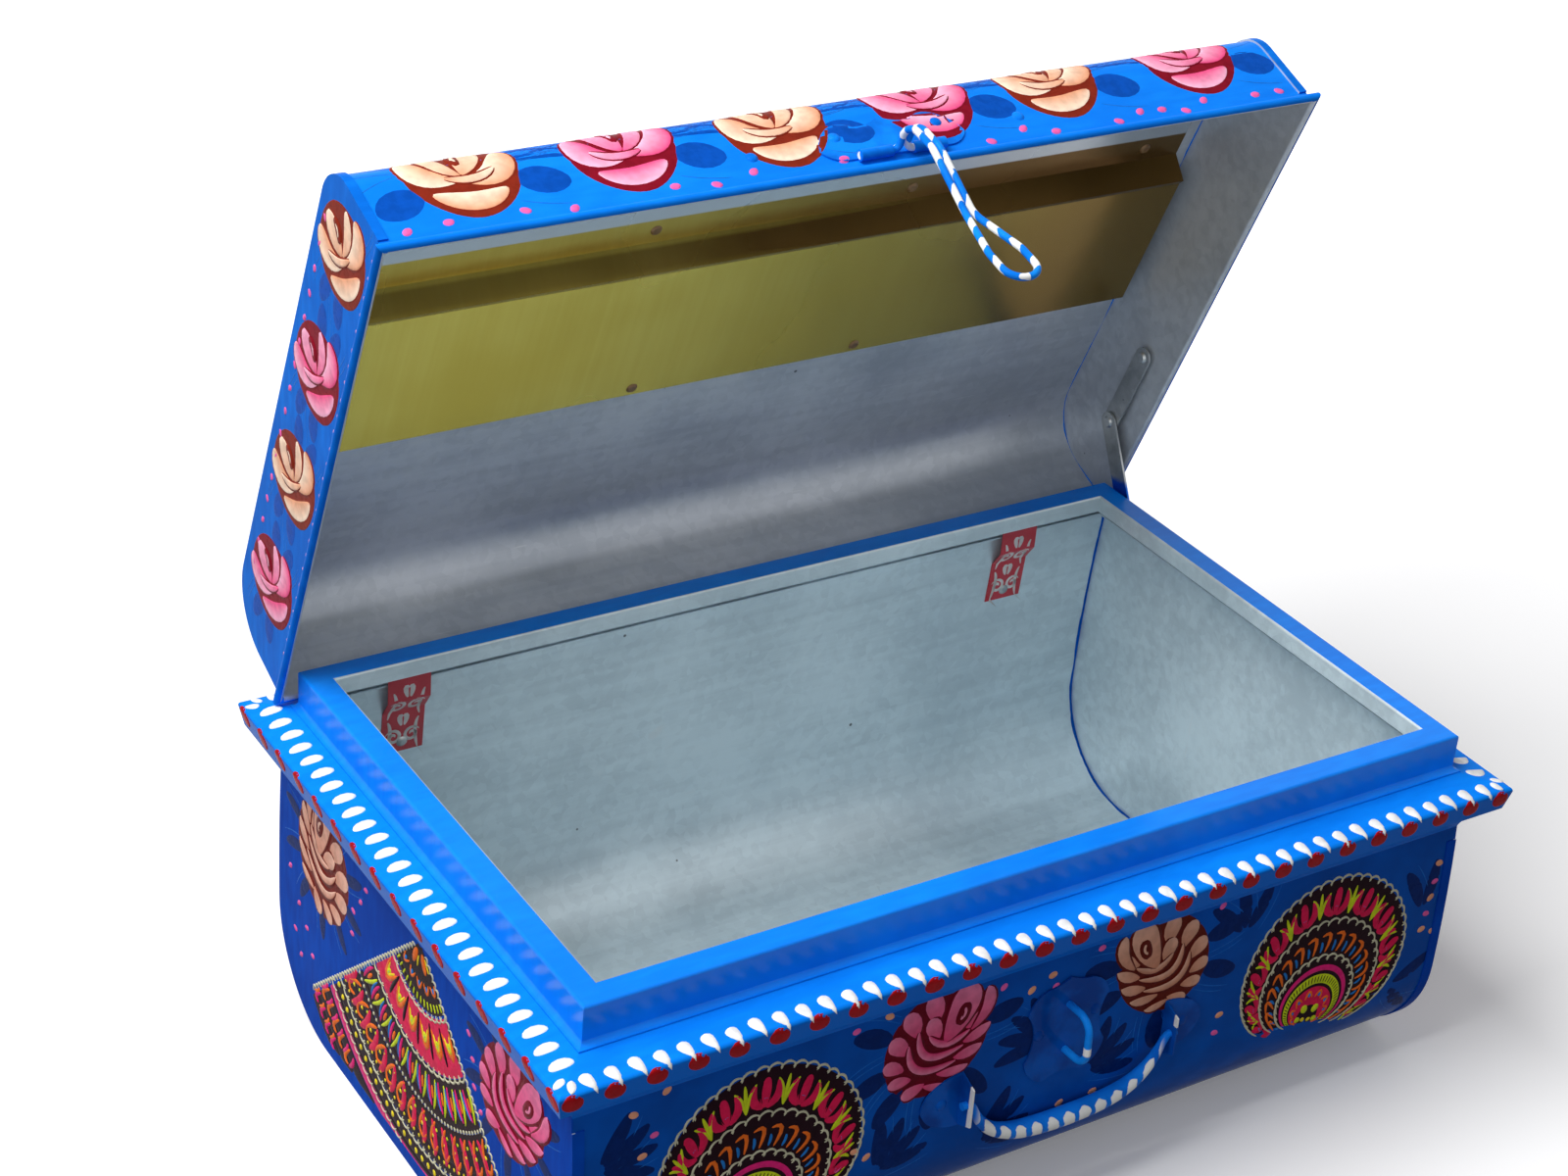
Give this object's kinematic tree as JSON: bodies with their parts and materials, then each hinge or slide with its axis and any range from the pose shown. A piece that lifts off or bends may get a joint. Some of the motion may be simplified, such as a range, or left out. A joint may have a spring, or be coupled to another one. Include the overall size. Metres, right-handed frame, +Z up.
{
  "type": "painted tin trunk",
  "caption": "Small painted sheet-steel trunk with a hinged lid on looped tin straps, a folding lid stay, a hanging wire hasp over a staple, and a drop handle.",
  "frame": {"origin": "under the middle of the trunk, on the floor it stands on", "axes": "+X to the right end, +Y to the back where the lid hinges, +Z up; the front with hasp and handle faces -Y"},
  "size_m": [0.4578, 0.3182, 0.412],
  "materials": {
    "trunk_paint": "glossy enamel outside, bare galvanised steel inside",
    "ledge_paint": "glossy enamel",
    "lid_paint": "glossy enamel outside, bare galvanised steel inside",
    "fitting_paint": "glossy enamel brushed over the fittings",
    "bare_steel": "galvanised, dull",
    "printed_tin": "printed tin",
    "gold_lacquer": "gold lacquered tin"
  },
  "bodies": {
    "trunk": {"body_wrap": "trunk_paint", "body_end_left": "trunk_paint", "body_end_right": "trunk_paint", "ledge_front": "ledge_paint", "ledge_back": "ledge_paint", "ledge_left": "ledge_paint", "ledge_right": "ledge_paint", "collar_front": "ledge_paint", "collar_back": "ledge_paint", "collar_left": "ledge_paint", "collar_right": "ledge_paint", "staple_plate": "fitting_paint", "staple_wire": "fitting_paint", "staple_rivets": "fitting_paint", "handle_plate_left": "fitting_paint", "handle_plate_right": "fitting_paint", "handle_rivets": "fitting_paint", "stay_lower_rivet": "bare_steel", "strap_rivets": "bare_steel", "hinge_strap_left": "printed_tin", "hinge_strap_right": "printed_tin"},
    "lid": {"lid_wrap": "lid_paint", "lid_end_left": "lid_paint", "lid_end_right": "lid_paint", "lid_rim_wire": "bare_steel", "lid_pocket": "gold_lacquer", "pocket_rivets": "gold_lacquer", "hasp_plate": "fitting_paint", "lid_front_rivets": "fitting_paint", "stay_upper_rivet": "bare_steel"},
    "hasp": {"hasp_loop": "fitting_paint"},
    "handle": {"handle_bail": "fitting_paint"},
    "stay_lower": {"stay_lower_link": "bare_steel", "stay_elbow_rivet": "bare_steel"},
    "stay_upper": {"stay_upper_link": "bare_steel"}
  },
  "joints": [
    {"name": "lid_hinge", "type": "hinge", "parent": "trunk", "child": "lid", "pos_m": [0, 0.12975, 0.15285], "axis": [-1, 0, 0], "range_deg": [-68.5, 19.5]},
    {"name": "stay_lower_pivot", "type": "hinge", "parent": "trunk", "child": "stay_lower", "pos_m": [0.2117, 0.11, 0.1605], "axis": [-1, 0, 0], "range_deg": [-65.2, 18.7]},
    {"name": "stay_upper_pivot", "type": "hinge", "parent": "lid", "child": "stay_upper", "pos_m": [0.213, 0.11386, 0.23849], "axis": [-1, 0, 0], "range_deg": [-27.6, 8]},
    {"name": "hasp_pivot", "type": "hinge", "parent": "lid", "child": "hasp", "pos_m": [0.009, 0.04033, 0.39895], "axis": [-1, 0, 0], "range_deg": [-7.2, 78]},
    {"name": "handle_pivot", "type": "hinge", "parent": "trunk", "child": "handle", "pos_m": [0.01, -0.1379, 0.071], "axis": [-1, 0, 0], "range_deg": [0, 135]}
  ],
  "couplings": [
    {"joint": "stay_lower_pivot", "follows": "lid_hinge", "ratio": 0.95},
    {"joint": "stay_upper_pivot", "follows": "lid_hinge", "ratio": 0.4}
  ]
}
